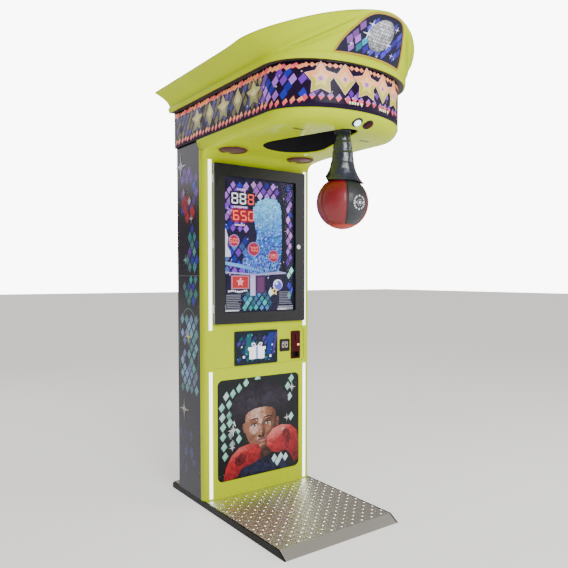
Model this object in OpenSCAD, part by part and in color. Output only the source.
// Boxing punch machine: a tread-plate platform, a tall cabinet with a hinged
// screen door, and an overhanging header that carries a swinging punch ball.
// Millimetres. X runs across the front, -Y is the player's side, +Z is up.
// The origin is on the floor under the middle of the whole machine.

/* [Platform] */
// Half the width of the platform and of the cabinet
half_w = 330; // [310:1:350]
// Front edge of the platform, at the foot of the ramp
ramp_foot_y = -417; // [-430:1:-400]
// Where the ramp meets the flat tread
ramp_top_y = -366; // [-380:1:-350]
// Rear edge of the platform
plate_rear_y = 678; // [660:1:690]
// Height of the tread surface
deck_z = 32; // [30:1:40]
// Thickness of the tread plate
tread_t = 4; // [3:0.5:4]
// Width of the black edge trim
trim_w = 8; // [6:1:10]

/* [Cabinet] */
// Front face of the lime moulding
front_y = 291; // [285:1:295]
// Line where the moulding stops and the side boards start
side_y = 335; // [330:1:340]
// Rear face of the cabinet
back_y = 591; // [580:1:600]
// Thickness of the side and rear boards
board_t = 18; // [15:1:20]
// Wall of the lime mouldings
skin_t = 5; // [4:0.5:6]
// Radius of the upright front corners
corner_r = 25; // [15:1:30]
// Underside of the header
tray_z = 1800; // [1780:1:1820]

/* [Light tubes] */
// Centre of each light tube, from the middle
led_x = 293; // [288:1:294]
// Width of a light tube
led_w = 19; // [16:1:20]
// Ends of the upper tubes
led_up_z = [903, 1754]; // [0:1:2000]
// Ends of the lower tubes
led_low_z = [40, 690]; // [0:1:2000]

/* [Screen door] */
// Half the width of the door frame
door_hw = 280; // [276:1:281]
// Lower and upper edge of the door
door_z = [932, 1740]; // [0:1:2000]
// How far the frame stands off the moulding
door_t = 20; // [16:1:22]
// Half the width of the window
window_hw = 219; // [200:1:220]
// Lower and upper edge of the window
window_z = [990, 1683]; // [0:1:2000]
// Height of the door lock
door_lock_z = 1338; // [1200:1:1450]
// Distance of the door lock from the middle
door_lock_x = 238; // [236:1:242]

/* [Coin panel and picture] */
// Half the width of the coin recess
coin_hw = 292; // [280:1:292]
// Lower and upper edge of the coin recess
coin_z = [704, 898]; // [0:1:2000]
// Left and right edge of the prize display
prize_x = [-155, 113]; // [-200:1:200]
// Lower and upper edge of the prize display
prize_z = [709, 889]; // [0:1:2000]
// Left and right edge of the coin validator
validator_x = [204, 264]; // [150:1:280]
// Lower and upper edge of the coin validator
validator_z = [720, 874]; // [0:1:2000]
// Half the width of the lower picture
picture_hw = 256; // [240:1:258]
// Lower and upper edge of the lower picture
picture_z = [113, 642]; // [0:1:2000]

/* [Header] */
// Half the width of the lit band
band_hw = 342; // [336:1:350]
// Front of the lit band
band_front_y = -542; // [-550:1:-530]
// Where the straight sides start to curve forward
bend_y = -300; // [-320:1:-280]
// Lower edge of the lit band
band_z = 1851; // [1840:1:1860]
// Upper edge of the lit band
lip_z = 2032; // [2025:1:2040]
// Radius of the wide end of the ball opening
mouth_r = 155; // [150:1:158]
// Centre of the wide end of the ball opening
mouth_y = -30; // [-35:1:-25]
// Distance of the speakers from the middle
speaker_x = 205; // [200:1:210]
// Centre of the speakers, front to back
speaker_y = 212; // [205:1:216]
// Radius of the speaker openings
speaker_r = 61; // [55:1:62]
// Distance of the push buttons from the middle
button_x = 30; // [28:1:34]

/* [Hood] */
// Half the width of the hood at its lip
lip_hw = 372; // [365:1:378]
// Front of the hood at its lip
lip_front_y = -562; // [-570:1:-555]
// Half the width of the hood at its top edge
hood_hw = 450; // [440:1:455]
// Front of the hood at its top edge
hood_front_y = -678; // [-685:1:-670]
// Height of the top edge along the sides
hood_side_z = 2131; // [2115:1:2140]
// Extra height of the top edge at the front
hood_rise = 83; // [75:1:95]
// Where the top edge starts to curve forward
hood_bend_y = -234; // [-260:1:-210]
// Where the top edge starts to rise
hood_rise_y = -131; // [-160:1:-100]

/* [Ball and arm] */
// Height of the arm's pivot
pivot_z = 1887; // [1884:1:1892]
// Pivot and ball, front to back
pivot_y = -382; // [-388:1:-376]
// Height of the ball's centre
ball_z = 1496; // [1490:1:1500]
// Radius of the ball
ball_r = 114; // [110:1:114]
// Radius of the pivot shaft
shaft_r = 10; // [9:0.5:11]
// Running clearance of the shaft in its bearings
run_gap = 0.05; // [0.02:0.01:0.08]

/* [Hidden] */
$fn = 48;

fit = 0.5;                         // gap round pieces that are fitted together
trim_x = half_w - trim_w;          // edge of the tread plate
sleeve_top_z = pivot_z - 58;
bracket_x = 44;                    // inner face of the pivot brackets
bracket_t = 12;
bearing_r = 21;
beam_y = pivot_y - 58;             // rear face of the front cross beam
beam_x = [170, 210];               // header side beams
beam_z = [1900, 1950];
post = 30;                         // square tube of the cabinet frame
post_x = [276, 306];
post_y = [345, 545];
panel_y = front_y + skin_t;        // front face of the recessed panels
slot_x = 232;                      // coin slot
slot_z = [820, 856];
cup_x = [214, 254];                // coin return cup
cup_z = [728, 758];
return_x = 250;                    // coin return button
return_z = 797;
return_r = 6;
well_top = 2012;                   // top of the pocket behind the ball opening
hinge_x = -276;                    // screen door pin
hinge_y = front_y - 8;
rear_hinge_x = -241;
rear_hinge_y = back_y + 5.2;
rear_door_hw = 238;
rear_door_z = [150, 1500];
rear_lock_z = 825;
lean = 43;                         // how far the medallion leans forward
medallion_at = [0, -556, 2070];    // middle of the medallion's lower edge
tray_front_y = -482;               // the tray's underside, inside its sloping rim
tray_hw = 316;
rim_top_z = band_z - 12;
rim_rise = (rim_top_z - tray_z) / (tray_front_y - band_front_y - 1);
rim_lean = atan(rim_rise);         // slope of the rim that carries the buttons
button_y = -508;
button_at = [0, button_y, tray_z + (tray_front_y - button_y) * rim_rise];
latch_y = pivot_y + 13.5;          // clear of the lever when the arm is up
latch_z = pivot_z + 35;

// Front-rounded plan outline: half width, front, start of the bend, rear, squareness
function plan(hw, yf, yc, yr, n = 2, steps = 32) = concat(
  [for (i = [0 : steps]) let (a = 180 * i / steps, c = cos(a), s = sin(a))
    [-hw * sign(c) * pow(abs(c), 2 / n), yc - (yc - yf) * pow(max(s, 0), 2 / n)]],
  [[hw, yr], [-hw, yr]]);

// Height of the hood's top edge at a given distance from the front
function edge_z(y) = hood_side_z
  + hood_rise * pow(max(0, (hood_rise_y - y) / (hood_rise_y - hood_front_y)), 1.7);

module block(lo, hi) {
  translate(lo) cube(hi - lo);
}

module both_sides() {
  children();
  mirror([1, 0, 0]) children();
}

// Upright panel with round corners: x and z limits, y limits, corner radius
module panel(x0, x1, z0, z1, y0, y1, r) {
  translate([0, y1, 0]) rotate([90, 0, 0]) linear_extrude(y1 - y0) {
    translate([x0 + r, z0]) square([x1 - x0 - 2 * r, z1 - z0]);
    translate([x0, z0 + r]) square([x1 - x0, z1 - z0 - 2 * r]);
    for (x = [x0 + r, x1 - r], z = [z0 + r, z1 - r]) translate([x, z]) circle(r);
  }
}

// Cylinder along X between two stations
module bar_x(x0, x1, y, z, r) {
  translate([x0, y, z]) rotate([0, 90, 0]) cylinder(h = x1 - x0, r = r);
}

// Cylinder along Y between two stations
module bar_y(y0, y1, x, z, r) {
  translate([x, y1, z]) rotate([90, 0, 0]) cylinder(h = y1 - y0, r = r);
}

module base_frame() color("dimgray") {
  z0 = 5;
  z1 = deck_z - tread_t;
  rail = 40;
  x = trim_x - 2;
  for (s = [-1, 1]) block([s > 0 ? x - rail : -x, ramp_top_y + 4, z0],
    [s > 0 ? x : -x + rail, plate_rear_y - 2, z1]);
  for (y = [ramp_top_y + 4, -20, 300, plate_rear_y - 2 - rail])
    block([-x + rail, y, z0], [x - rail, y + rail, z1]);
}

module ramp_profile(drop) {
  polygon([[ramp_top_y, deck_z - drop], [ramp_foot_y + drop * 1.6, 0], [ramp_foot_y, 0],
    [ramp_top_y, deck_z]]);
}

module tread_plate() color("silver") {
  block([-trim_x, ramp_top_y, deck_z - tread_t], [trim_x, plate_rear_y, deck_z]);
  translate([-trim_x, 0, 0]) rotate([90, 0, 90]) linear_extrude(2 * trim_x)
    ramp_profile(tread_t);
}

module edge_trim() {
  round_r = 14;
  translate([trim_x, 0, 0]) rotate([90, 0, 90]) linear_extrude(trim_w) {
    polygon([[ramp_foot_y, 0], [ramp_top_y, deck_z], [plate_rear_y - round_r, deck_z],
      [plate_rear_y - round_r, 0]]);
    translate([plate_rear_y - round_r, 0]) square([round_r, deck_z - round_r]);
    translate([plate_rear_y - round_r, deck_z - round_r]) circle(round_r);
  }
}

module edge_trim_left() color("#202020") mirror([1, 0, 0]) edge_trim();
module edge_trim_right() color("#202020") edge_trim();

module floor_pads() color("#151515") {
  for (x = [-270, 270], y = [-330, 0, 320, 640])
    translate([x, y, 0]) cylinder(h = 5, r = 18);
}

module cabinet_frame() color("dimgray") {
  both_sides() for (y = post_y)
    block([post_x[0], y, deck_z], [post_x[1], y + post, beam_z[0] - 40]);
  for (z = [deck_z, 655, 1770])
    block([-post_x[0], post_y[1], z], [post_x[0], post_y[1] + post, z + post]);
  for (z = [906, 1770])
    block([-post_x[0], post_y[0], z], [post_x[0], post_y[0] + post, z + post]);
  both_sides() for (z = [deck_z, 1770])
    block([post_x[0], post_y[0] + post, z], [post_x[1], post_y[1], z + post]);
}

module side_board() {
  block([half_w - board_t, side_y, deck_z], [half_w, back_y, band_z - 1]);
}

module side_board_left() color("#2a1840") mirror([1, 0, 0]) side_board();
module side_board_right() color("#2a1840") side_board();

module rear_board() color("#1c1c20") difference() {
  union() {
    block([-half_w + board_t + 0.5, back_y - 12, deck_z],
      [half_w - board_t - 0.5, back_y, lip_z - 1]);
    block([-band_hw + 3.5, back_y - 12, band_z], [band_hw - 3.5, back_y, lip_z - 1]);
  }
  block([-rear_door_hw - 2, back_y - 13, rear_door_z[0] - 2],
    [rear_door_hw + 2, back_y + 1, rear_door_z[1] + 2]);
  panel(-60, 60, 60, 110, back_y - 13, back_y + 1, 3);
}

// Plan of the lime moulding that wraps the cabinet's front corners
module moulding_plan(inset) {
  r = corner_r - inset;
  x = half_w - inset;
  y = front_y + inset;
  translate([-x, y + r]) square([2 * x, side_y - y - r - fit]);
  translate([-x + r, y]) square([2 * (x - r), r + 1]);
  for (s = [-1, 1]) intersection() {
    translate([s * (x - r), y + r]) circle(r);
    translate([-x, y]) square([2 * x, r + 1]);
  }
}

module tube_slot(zs) {
  both_sides() block([led_x - led_w / 2 - fit, front_y - 1, zs[0] - fit],
    [led_x + led_w / 2 + fit, front_y + skin_t + 1, zs[1] + fit]);
}

module front_moulding() color("#c8dc10") difference() {
  translate([0, 0, deck_z]) linear_extrude(tray_z - deck_z) difference() {
    moulding_plan(0);
    moulding_plan(skin_t);
    translate([-half_w + skin_t, side_y - 1]) square([2 * (half_w - skin_t), 2]);
  }
  panel(-262, 262, 950, 1722, front_y - 1, front_y + skin_t + 1, 10);
  panel(-coin_hw, coin_hw, coin_z[0], coin_z[1], front_y - 1, front_y + skin_t + 1, 30);
  panel(-picture_hw, picture_hw, picture_z[0], picture_z[1], front_y - 1,
    front_y + skin_t + 1, 30);
  tube_slot(led_up_z);
  tube_slot(led_low_z);
  for (z = hinge_heights()) block([hinge_x - 4, front_y - 1, z - 24],
    [hinge_x + 4, front_y + skin_t + 1, z + 24]);
}

// Light tube: a flat-backed tube with a softly rounded face
module led_tube(s, zs) {
  r = 4;
  translate([s * led_x, 0, zs[0]]) linear_extrude(zs[1] - zs[0]) {
    translate([-led_w / 2, front_y - 2 + r]) square([led_w, 12 - r]);
    translate([-led_w / 2 + r, front_y - 2]) square([led_w - 2 * r, 12]);
    for (x = [-1, 1]) translate([x * (led_w / 2 - r), front_y - 2 + r]) circle(r);
  }
}

module led_tube_upper_left() color("white") led_tube(-1, led_up_z);
module led_tube_upper_right() color("white") led_tube(1, led_up_z);
module led_tube_lower_left() color("white") led_tube(-1, led_low_z);
module led_tube_lower_right() color("white") led_tube(1, led_low_z);

module coin_panel() color("#c8dc10") difference() {
  panel(-coin_hw - 6, coin_hw + 6, coin_z[0] - 3, coin_z[1] + 3, panel_y, panel_y + 5, 30);
  block([prize_x[0] + 12, panel_y - 1, prize_z[0] + 12],
    [prize_x[1] - 12, panel_y + 6, prize_z[1] - 12]);
  block([140, panel_y - 1, 775], [184, panel_y + 6, 822]);
  block([validator_x[0] + 4, panel_y - 1, validator_z[0] + 4],
    [validator_x[1] - 4, panel_y + 6, validator_z[1] - 4]);
}

module prize_display() color("#101820") {
  panel(prize_x[0], prize_x[1], prize_z[0], prize_z[1], panel_y - 4, panel_y, 8);
}

module prize_board() color("#0c3a20") {
  block([prize_x[0] + 14, panel_y, prize_z[0] + 14],
    [prize_x[1] - 14, panel_y + 18, prize_z[1] - 14]);
}

module credit_display() color("#101010") {
  panel(129, 194, 765, 832, panel_y - 5, panel_y, 6);
  block([141, panel_y, 776], [183, panel_y + 14, 821]);
}

module validator_plate() color("#2c0c10") difference() {
  panel(validator_x[0], validator_x[1], validator_z[0], validator_z[1],
    panel_y - 7, panel_y, 5);
  block([slot_x - 2.5, panel_y - 8, slot_z[0]], [slot_x + 2.5, panel_y + 1, slot_z[1]]);
  block([cup_x[0], panel_y - 8, cup_z[0]], [cup_x[1], panel_y + 1, cup_z[1]]);
  bar_y(panel_y - 8, panel_y + 1, return_x, return_z, return_r + 0.4);
}

module coin_mechanism() color("#33363a") difference() {
  block([validator_x[0] + 5, panel_y, validator_z[0] + 5],
    [validator_x[1] - 5, panel_y + 90, validator_z[1] - 5]);
  block([slot_x - 2.5, panel_y - 1, slot_z[0]], [slot_x + 2.5, panel_y + 70, slot_z[1]]);
  block([cup_x[0], panel_y - 1, cup_z[0]], [cup_x[1], panel_y + 26, cup_z[1]]);
  bar_y(panel_y - 1, panel_y + 26, return_x, return_z, return_r + 0.4);
  block([slot_x - 14, panel_y + 40, validator_z[0] + 4],
    [slot_x + 14, panel_y + 70, slot_z[0] + 1]);
}

module coin_return_button() color("#ff5020") {
  bar_y(panel_y - 11, panel_y + 20, return_x, return_z, return_r);
}

module coin_chute() color("silver") difference() {
  block([slot_x - 20, panel_y + 34, 252], [slot_x + 20, panel_y + 76, validator_z[0] + 5]);
  block([slot_x - 18, panel_y + 36, 251], [slot_x + 18, panel_y + 74, validator_z[0] + 6]);
}

module cash_box() color("#8a8f94") difference() {
  block([110, 315, deck_z], [268, 470, 240]);
  block([112, 317, deck_z + 2], [266, 468, 241]);
}

module picture_panel() color("#143038") {
  panel(-picture_hw - 6, picture_hw + 6, picture_z[0] - 6, picture_z[1] + 6,
    panel_y, panel_y + 4, 34);
}

function hinge_heights() = [1010, door_z[0] + (door_z[1] - door_z[0]) / 2, 1662];

module door_frame() color("#241c18") difference() {
  panel(-door_hw, door_hw, door_z[0], door_z[1], front_y - door_t - 1, front_y - 1.5, 8);
  panel(-window_hw, window_hw, window_z[0], window_z[1], front_y - door_t - 2, front_y, 6);
  panel(-window_hw - 8, window_hw + 8, window_z[0] - 8, window_z[1] + 8,
    front_y - 8, front_y, 6);
  for (z = hinge_heights()) block([-door_hw - 1, front_y - 16, z - 22],
    [hinge_x + 8, front_y, z + 22]);
  translate([hinge_x, hinge_y, door_z[0] + 20])
    cylinder(h = door_z[1] - door_z[0] - 40, r = 3.3);
  bar_y(front_y - door_t - 2, front_y, door_lock_x, door_lock_z, 9.2);
}

module door_glass() color("#405a90", 0.5) {
  panel(-window_hw - 7.5, window_hw + 7.5, window_z[0] - 7.5, window_z[1] + 7.5,
    front_y - 8, front_y - 4, 5);
}

module display_board() color("#102818") {
  panel(-window_hw - 7, window_hw + 7, window_z[0] - 7, window_z[1] + 7,
    front_y - 3, front_y + 12, 5);
}

module door_hinges() color("#3a3a3e") for (z = hinge_heights()) difference() {
  union() {
    translate([hinge_x, hinge_y, z - 20]) cylinder(h = 40, r = 5.5);
    block([hinge_x - 3, hinge_y, z - 20], [hinge_x + 3, front_y + skin_t + 1, z + 20]);
    block([hinge_x - 5, front_y + skin_t, z - 20], [hinge_x + 12, front_y + skin_t + 2.5, z + 20]);
  }
  translate([hinge_x, hinge_y, z - 21]) cylinder(h = 42, r = 3.05);
}

module door_hinge_pin() color("silver") {
  translate([hinge_x, hinge_y, door_z[0] + 21]) cylinder(h = door_z[1] - door_z[0] - 42, r = 3);
}

module door_lock_barrel() color("#b0b0b4") difference() {
  union() {
    bar_y(front_y - door_t - 3, front_y + 6, door_lock_x, door_lock_z, 9);
    bar_y(front_y - door_t - 3, front_y - door_t - 1, door_lock_x, door_lock_z, 11.5);
  }
  bar_y(front_y - door_t - 4, front_y + 7, door_lock_x, door_lock_z, 6.1);
}

// Key plug with its cam, hanging down when unlocked
module lock_cam(x, y0, y1, z) {
  difference() {
    bar_y(y0, y1, x, z, 6);
    block([x - 0.8, y0 - 1, z - 4], [x + 0.8, y0 + 8, z + 4]);
  }
  bar_y(y1, y1 + 3, x, z, 8);
  block([x - 8, y1, z - 40], [x + 8, y1 + 3, z]);
}

module door_lock_cam() color("#d0d0d4")
  lock_cam(door_lock_x, front_y - door_t - 3.4, front_y + 8, door_lock_z);

module rear_door() color("#26262a") {
  difference() {
    block([-rear_door_hw, back_y - 6, rear_door_z[0]], [rear_door_hw, back_y, rear_door_z[1]]);
    bar_y(back_y - 7, back_y + 1, rear_door_hw - 24, rear_lock_z, 6.1);
    block([-90, back_y - 7, 1250], [90, back_y + 1, 1380]);
  }
  for (z = rear_knuckles(1)) difference() {
    union() {
      translate([rear_hinge_x, rear_hinge_y, z - 18]) cylinder(h = 36, r = 5);
      block([rear_hinge_x + 3.4, back_y, z - 18], [rear_hinge_x + 24, back_y + 2, z + 18]);
    }
    translate([rear_hinge_x, rear_hinge_y, z - 19]) cylinder(h = 38, r = 2.55);
  }
}

function rear_knuckles(k) = [for (i = [0 : 2]) 300 + 525 * i + (k > 0 ? 19 : -19)];

// Fixed knuckles of the rear door, each with its pin standing up into the door's knuckle
module rear_hinges() color("#50545a") for (z = rear_knuckles(0)) {
  translate([rear_hinge_x, rear_hinge_y, z - 18]) cylinder(h = 36, r = 5);
  translate([rear_hinge_x, rear_hinge_y, z - 18]) cylinder(h = 74, r = 2.5);
  block([rear_hinge_x - 26, back_y, z - 18], [rear_hinge_x - 3.4, back_y + 2, z + 18]);
}

module rear_lock_cam() color("#d0d0d4") translate([0, 2 * back_y - 12, 0]) mirror([0, 1, 0])
  lock_cam(rear_door_hw - 24, back_y - 15, back_y + 3, rear_lock_z);

module vent_grille() color("#303034") difference() {
  block([-96, back_y, 1244], [96, back_y + 3, 1386]);
  for (i = [0 : 8]) block([-84, back_y - 1, 1255 + 14 * i], [84, back_y + 4, 1263 + 14 * i]);
}

module power_inlet() color("#181818") difference() {
  union() {
    panel(-66, 66, 54, 116, back_y, back_y + 3, 4);
    block([-56, back_y - 40, 63], [56, back_y, 107]);
  }
  block([-14, back_y - 18, 74], [14, back_y + 4, 96]);
}

module power_supply() color("#a8acb0") {
  block([-250, 390, deck_z], [-90, 520, 98]);
}

module main_board() color("#0f5a2c") {
  block([-304, 390, 900], [-300, 530, 1120]);
  for (y = [400, 520], z = [910, 1110]) bar_x(-half_w + board_t, -304, y, z, 5);
  for (i = [0 : 2]) block([-300, 405 + 40 * i, 940], [-286, 430 + 40 * i, 1080]);
}

module header_frame() color("#30343a") {
  for (y = post_y) block([-post_x[1], y, beam_z[0] - 40], [post_x[1], y + post, beam_z[0]]);
  both_sides() {
    block([beam_x[0], beam_y - 40, beam_z[0]], [beam_x[1], post_y[1] + post, beam_z[1]]);
    for (y = [-380, 250]) block([beam_x[0], y, beam_z[1]], [beam_x[1], y + post, lip_z]);
  }
  block([-beam_x[0], beam_y - 40, beam_z[0]], [beam_x[0], beam_y, beam_z[1]]);
  both_sides() difference() {
    block([bracket_x, beam_y, pivot_z - 32], [bracket_x + bracket_t, pivot_y + 30, beam_z[1]]);
    bar_x(bracket_x - 1, bracket_x + bracket_t + 1, pivot_y, pivot_z, bearing_r);
  }
}

// Teardrop opening that the arm and ball swing through
module teardrop(grow) {
  big = mouth_r + grow;
  small = 50 + grow;
  tip_y = pivot_y - 20;
  a = asin((big - small) / (mouth_y - tip_y));
  polygon(concat(
    [for (i = [0 : 36]) let (t = -a + i * (180 + 2 * a) / 36)
      [big * cos(t), mouth_y + big * sin(t)]],
    [for (i = [0 : 14]) let (t = 180 + a + i * (180 - 2 * a) / 14)
      [small * cos(t), tip_y + small * sin(t)]]));
}

module tray_solid(inset) {
  hull() {
    translate([0, 0, rim_top_z]) linear_extrude(inset > 0 ? 13 : 12)
      polygon(plan(band_hw - 1 - inset, band_front_y + 1 + inset, bend_y, side_y - inset));
    translate([0, 0, tray_z + inset]) linear_extrude(1)
      polygon(plan(tray_hw - inset, tray_front_y + inset, bend_y, side_y - inset));
  }
}

module at_button(s) {
  translate(button_at + [s * button_x, 0, 0]) rotate([-rim_lean, 0, 0]) children();
}

// Sloping rim and, set inside it, the flat underside with its openings
module header_tray() color("#c8dc10") {
  rim_w = 12;
  difference() {
    tray_solid(0);
    tray_solid(skin_t);
    translate([0, 0, tray_z - 1]) linear_extrude(skin_t + 3)
      polygon(plan(tray_hw - rim_w, tray_front_y + rim_w, bend_y, side_y - rim_w));
    for (s = [-1, 1]) at_button(s) translate([0, 0, -20]) cylinder(h = 40, r = 18.4);
  }
  translate([0, 0, tray_z]) linear_extrude(skin_t) difference() {
    polygon(plan(tray_hw - rim_w, tray_front_y + rim_w, bend_y, side_y - rim_w));
    teardrop(0);
    both_sides() translate([speaker_x, speaker_y]) circle(speaker_r);
  }
}

module button_sockets() color("#141414") for (s = [-1, 1]) at_button(s) difference() {
  union() {
    translate([0, 0, -3]) cylinder(h = 36, r = 18);
    translate([0, 0, -6]) cylinder(h = 5, r = 24);
  }
  translate([0, 0, -7]) cylinder(h = 42, r = 15.2);
}

module push_button(s) {
  at_button(s) translate([0, 0, -11]) cylinder(h = 34, r = 15);
}

module start_button() color("#b8e8ff") push_button(-1);
module select_button() color("#801018") push_button(1);

module speaker() {
  translate([speaker_x, speaker_y, tray_z + skin_t + 0.5]) rotate_extrude($fn = 64)
    polygon([[0, 24], [16, 20], [20, 24], [50, 6], [54, 1], [57, 3], [60, 0], [70, 0], [70, 3],
      [58, 6], [40, 26], [32, 28], [32, 46], [0, 46]]);
}

module speaker_left() color("#3a2030") mirror([1, 0, 0]) speaker();
module speaker_right() color("#3a2030") speaker();

module ball_well() color("#141416") difference() {
  translate([0, 0, tray_z + skin_t]) linear_extrude(well_top - tray_z - skin_t) teardrop(6);
  translate([0, 0, tray_z]) linear_extrude(well_top - tray_z - 2) teardrop(3);
  block([-120, beam_y - 20, tray_z], [120, pivot_y + 52, well_top + 5]);
}

// Board that closes the top of the band and carries the hood
module header_deck() color("#181418") translate([0, 0, lip_z]) linear_extrude(15) {
  gap = skin_t + 0.5;
  polygon(plan(lip_hw - gap, lip_front_y + gap, bend_y, back_y - gap, 2.1));
}

module lit_band() color("#503070") translate([0, 0, band_z]) linear_extrude(lip_z - band_z - 0.5)
  difference() {
    polygon(plan(band_hw, band_front_y, bend_y, back_y));
    polygon(plan(band_hw - 3, band_front_y + 3, bend_y, back_y + 1));
  }

module band_lamps() color("white") {
  both_sides() block([312, bend_y + 40, lip_z - 12], [318, 540, lip_z]);
  block([-180, beam_y - 52, lip_z - 12], [180, beam_y - 46, lip_z]);
}

// Hood: an upright lip, then walls that flare out to a top edge rising to the front
module hood_solid(inset) {
  lip_h = 32;
  translate([0, 0, lip_z - (inset > 0 ? 1 : 0)]) linear_extrude(lip_h + 1)
    polygon(plan(lip_hw - inset, lip_front_y + inset, bend_y, back_y - inset, 2.1));
  hull() {
    translate([0, 0, lip_z + lip_h - 1 + (inset > 0 ? 0.5 : 0)]) linear_extrude(1)
      polygon(plan(lip_hw - inset, lip_front_y + inset, bend_y, back_y - inset, 2.1));
    for (p = plan(hood_hw - inset, hood_front_y + inset, hood_bend_y, back_y - inset, 1.63, 28))
      translate([p[0], p[1], edge_z(p[1]) - inset - 12]) cylinder(h = 12, r = 0.05, $fn = 4);
  }
}

module medallion_shape(grow) {
  top_v = 178;
  arch_r = 78;
  difference() {
    union() {
      polygon([[-182 - grow, -grow], [182 + grow, -grow], [176 + grow, 14 + grow],
        [72 + grow, top_v - arch_r + 24], [-72 - grow, top_v - arch_r + 24],
        [-176 - grow, 14 + grow]]);
      translate([0, top_v - arch_r]) circle(arch_r + grow, $fn = 64);
    }
    translate([-200, -60 - grow]) square([400, 60]);
  }
}

module at_medallion() {
  translate(medallion_at) rotate([90 + lean, 0, 0]) children();
}

module hood() color("#c8dc10") difference() {
  hood_solid(0);
  hood_solid(skin_t);
  at_medallion() translate([0, 0, -4]) linear_extrude(90) medallion_shape(0.5);
}

module medallion() color("#302878") at_medallion() translate([0, 0, -4])
  linear_extrude(4) medallion_shape(0);

module pivot_bearings() color("silver") both_sides() difference() {
  bar_x(bracket_x, bracket_x + bracket_t, pivot_y, pivot_z, bearing_r - 0.1);
  bar_x(bracket_x - 1, bracket_x + bracket_t + 1, pivot_y, pivot_z, shaft_r);
}

module pivot_shaft() color("silver") {
  bar_x(-82, 88, pivot_y, pivot_z, shaft_r - run_gap);
}

// Hub, arm tube, collars, latch lever and slotted speed disc, all fast on the shaft
module ball_arm() color("#404448") difference() {
  union() {
    bar_x(-32, 32, pivot_y, pivot_z, 24);
    translate([0, pivot_y, ball_z + 60]) cylinder(h = pivot_z - ball_z - 60, r = 17);
    both_sides() bar_x(58, 62, pivot_y, pivot_z, 15);
    bar_x(-76, -66, pivot_y, pivot_z, 15);
    block([-74, pivot_y, pivot_z - 8], [-66, pivot_y + 46, pivot_z + 8]);
    bar_x(76, 79, pivot_y, pivot_z, 42);
    bar_x(62, 76, pivot_y, pivot_z, 12);
  }
  bar_x(-90, 90, pivot_y, pivot_z, shaft_r);
  for (a = [0 : 30 : 330]) translate([70, pivot_y, pivot_z]) rotate([a, 0, 0])
    block([0, -2, 30], [15, 2, 38]);
}

// Leather sleeve that hides the arm and flares over the top of the ball
module arm_sleeve() color("#26282c") {
  seat_r = ball_r + 0.6;
  seat = [for (a = [43 : -4 : 11]) [seat_r * sin(a), seat_r * cos(a)]];
  translate([0, pivot_y, ball_z]) rotate_extrude($fn = 64)
    polygon(concat([[17.3, seat_r], [17.3, sleeve_top_z - ball_z], [33, sleeve_top_z - ball_z],
      [36, 290], [45, 203], [57, 142], [72, 98], [82, 84]], seat));
}

module ball_core() color("#c8b890") difference() {
  translate([0, pivot_y, ball_z]) sphere(ball_r - 5.5);
  translate([0, pivot_y, ball_z + 59]) cylinder(h = 80, r = 17.3);
}

module ball_cover() color("#a01820") difference() {
  translate([0, pivot_y, ball_z]) sphere(ball_r, $fn = 64);
  translate([0, pivot_y, ball_z]) sphere(ball_r - 5);
  translate([0, pivot_y, ball_z + 60]) cylinder(h = 80, r = 17.3);
}

module speed_sensor() color("#101014") difference() {
  block([68, beam_y, pivot_z + 14], [88, pivot_y - 24, pivot_z + 50]);
  block([74, beam_y + 8, pivot_z + 13], [81, pivot_y - 23, pivot_z + 51]);
}

module latch_solenoid() color("#60686e") difference() {
  block([-126, beam_y, latch_z - 17], [-90, pivot_y + 32, latch_z + 17]);
  bar_x(-127, -89, latch_y, latch_z, 5.3);
}

module latch_pin() color("silver") {
  bar_x(-146, -80, latch_y, latch_z, 5);
}

base_frame();
tread_plate();
edge_trim_left();
edge_trim_right();
floor_pads();
cabinet_frame();
side_board_left();
side_board_right();
rear_board();
front_moulding();
led_tube_upper_left();
led_tube_upper_right();
led_tube_lower_left();
led_tube_lower_right();
coin_panel();
prize_display();
prize_board();
credit_display();
validator_plate();
coin_mechanism();
coin_return_button();
coin_chute();
cash_box();
picture_panel();
door_frame();
door_glass();
display_board();
door_hinges();
door_hinge_pin();
door_lock_barrel();
door_lock_cam();
rear_door();
rear_hinges();
rear_lock_cam();
vent_grille();
power_inlet();
power_supply();
main_board();
header_frame();
header_tray();
button_sockets();
start_button();
select_button();
speaker_left();
speaker_right();
ball_well();
header_deck();
lit_band();
band_lamps();
hood();
medallion();
pivot_bearings();
pivot_shaft();
ball_arm();
arm_sleeve();
ball_core();
ball_cover();
speed_sensor();
latch_solenoid();
latch_pin();
